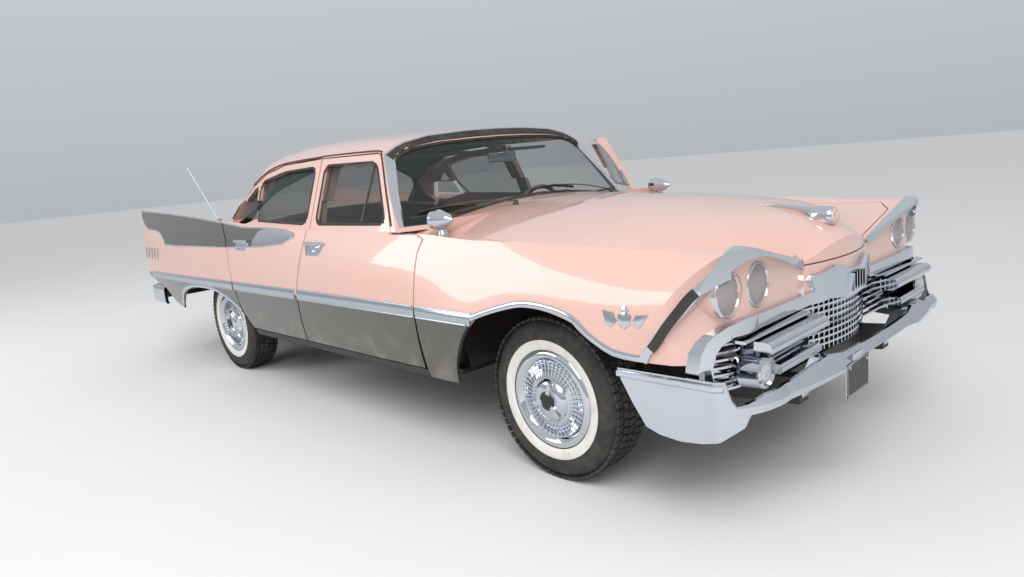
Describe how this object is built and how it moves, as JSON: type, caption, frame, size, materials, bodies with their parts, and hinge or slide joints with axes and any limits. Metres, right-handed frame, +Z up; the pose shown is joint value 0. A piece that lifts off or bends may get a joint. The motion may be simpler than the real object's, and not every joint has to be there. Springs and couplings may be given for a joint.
{
  "type": "four-door sedan of the late 1950s with tail fins",
  "caption": "Full-size four-door sedan with tail fins and hooded paired headlamps, with opening doors, hood and boot lid, turning front wheels and steering wheel.",
  "frame": {"origin": "on the ground plane, on the car's centre plane, midway between the front and rear axles", "axes": "+X towards the front of the car, +Y to its left, +Z up"},
  "size_m": [5.4665, 2.7319, 1.5174],
  "materials": {
    "body_paint": "gloss two-layer paint, pale salmon pink",
    "lower_paint": "gloss metallic paint, dark pewter grey",
    "black_paint": "satin black chassis paint",
    "dash_paint": "satin paint, dark grey",
    "chrome": "polished chrome plate",
    "window_glass": "clear safety glass, faint green tint",
    "lamp_glass": "moulded clear lamp glass in chrome rims",
    "lamp_red": "red moulded lens in chrome rims",
    "tyre_rubber": "black rubber with a broad white sidewall",
    "wheel_plastic": "moulded rim with bright horn ring",
    "seat_cloth": "woven cloth with vinyl bolsters",
    "cast_metal": "painted iron",
    "bare_steel": "weathered steel"
  },
  "bodies": {
    "body": {"chassis_frame": "black_paint", "floor_pan": "black_paint", "cowl": "body_paint", "rear_bulkhead": "body_paint", "roof_and_pillars": "body_paint", "front_fender_left": "body_paint", "front_fender_right": "body_paint", "quarter_panel_left": "body_paint", "quarter_panel_right": "body_paint", "nose_panel": "body_paint", "rear_panel": "lower_paint", "front_bumper": "chrome", "rear_bumper": "chrome", "grille": "chrome", "grille_surround": "chrome", "headlamp_brows": "chrome", "headlamps": "lamp_glass", "tail_lamps": "lamp_red", "mirrors": "chrome", "aerial": "chrome", "windshield": "window_glass", "rear_window": "window_glass", "dashboard": "dash_paint", "front_seat": "seat_cloth", "rear_seat": "seat_cloth", "engine": "cast_metal", "radiator": "black_paint", "exhaust_system": "bare_steel", "fuel_tank": "bare_steel", "rear_axle": "black_paint", "front_suspension": "black_paint"},
    "hood": {"hood": "body_paint"},
    "trunk_lid": {"trunk_lid": "body_paint"},
    "steering_wheel": {"steering_wheel": "wheel_plastic"},
    "door_front_left": {"door_front_left": "body_paint", "door_glass_front_left": "window_glass"},
    "wheel_front_left": {"wheel_front_left": "chrome", "tyre_front_left": "tyre_rubber"},
    "door_front_right": {"door_front_right": "body_paint", "door_glass_front_right": "window_glass"},
    "wheel_front_right": {"wheel_front_right": "chrome", "tyre_front_right": "tyre_rubber"},
    "door_rear_left": {"door_rear_left": "body_paint", "door_glass_rear_left": "window_glass"},
    "wheel_rear_left": {"wheel_rear_left": "chrome", "tyre_rear_left": "tyre_rubber"},
    "door_rear_right": {"door_rear_right": "body_paint", "door_glass_rear_right": "window_glass"},
    "wheel_rear_right": {"wheel_rear_right": "chrome", "tyre_rear_right": "tyre_rubber"},
    "knuckle_left": {"knuckle_left": "cast_metal"},
    "knuckle_right": {"knuckle_right": "cast_metal"}
  },
  "joints": [
    {"name": "door_front_left_hinge", "type": "hinge", "parent": "body", "child": "door_front_left", "pos_m": [0.8715, 1.007, 0.7], "axis": [0, 0, -1], "range_deg": [-42, 23]},
    {"name": "door_front_right_hinge", "type": "hinge", "parent": "body", "child": "door_front_right", "pos_m": [0.8715, -1.007, 0.7], "axis": [0, 0, 1], "range_deg": [0, 65]},
    {"name": "door_rear_left_hinge", "type": "hinge", "parent": "body", "child": "door_rear_left", "pos_m": [-0.197, 1.007, 0.7], "axis": [0, 0, -1], "range_deg": [0, 65]},
    {"name": "door_rear_right_hinge", "type": "hinge", "parent": "body", "child": "door_rear_right", "pos_m": [-0.197, -1.007, 0.7], "axis": [0, 0, 1], "range_deg": [0, 65]},
    {"name": "hood_hinge", "type": "hinge", "parent": "body", "child": "hood", "pos_m": [0.9045, 0, 1.102], "axis": [0, -1, 0], "range_deg": [0, 45]},
    {"name": "trunk_lid_hinge", "type": "hinge", "parent": "body", "child": "trunk_lid", "pos_m": [-1.722, 0, 1.072], "axis": [0, 1, 0], "range_deg": [0, 60]},
    {"name": "steering", "type": "hinge", "parent": "body", "child": "steering_wheel", "pos_m": [0.318, 0.38, 0.935], "axis": [-0.9063, 0, 0.4226], "range_deg": [-480, 480]},
    {"name": "kingpin_left", "type": "hinge", "parent": "body", "child": "knuckle_left", "pos_m": [1.5495, 0.655, 0.34], "axis": [0, 0, 1], "range_deg": [-31, 31]},
    {"name": "wheel_front_left_spin", "type": "hinge", "parent": "knuckle_left", "child": "wheel_front_left", "pos_m": [1.5495, 0.7735, 0.34], "axis": [0, 1, 0], "continuous": true},
    {"name": "wheel_rear_left_spin", "type": "hinge", "parent": "body", "child": "wheel_rear_left", "pos_m": [-1.5495, 0.758, 0.34], "axis": [0, 1, 0], "continuous": true},
    {"name": "kingpin_right", "type": "hinge", "parent": "body", "child": "knuckle_right", "pos_m": [1.5495, -0.655, 0.34], "axis": [0, 0, 1], "range_deg": [-31, 31]},
    {"name": "wheel_front_right_spin", "type": "hinge", "parent": "knuckle_right", "child": "wheel_front_right", "pos_m": [1.5495, -0.7735, 0.34], "axis": [0, 1, 0], "continuous": true},
    {"name": "wheel_rear_right_spin", "type": "hinge", "parent": "body", "child": "wheel_rear_right", "pos_m": [-1.5495, -0.758, 0.34], "axis": [0, 1, 0], "continuous": true}
  ],
  "couplings": [
    {"joint": "kingpin_left", "follows": "steering", "ratio": 0.0625},
    {"joint": "kingpin_right", "follows": "steering", "ratio": 0.0625}
  ]
}
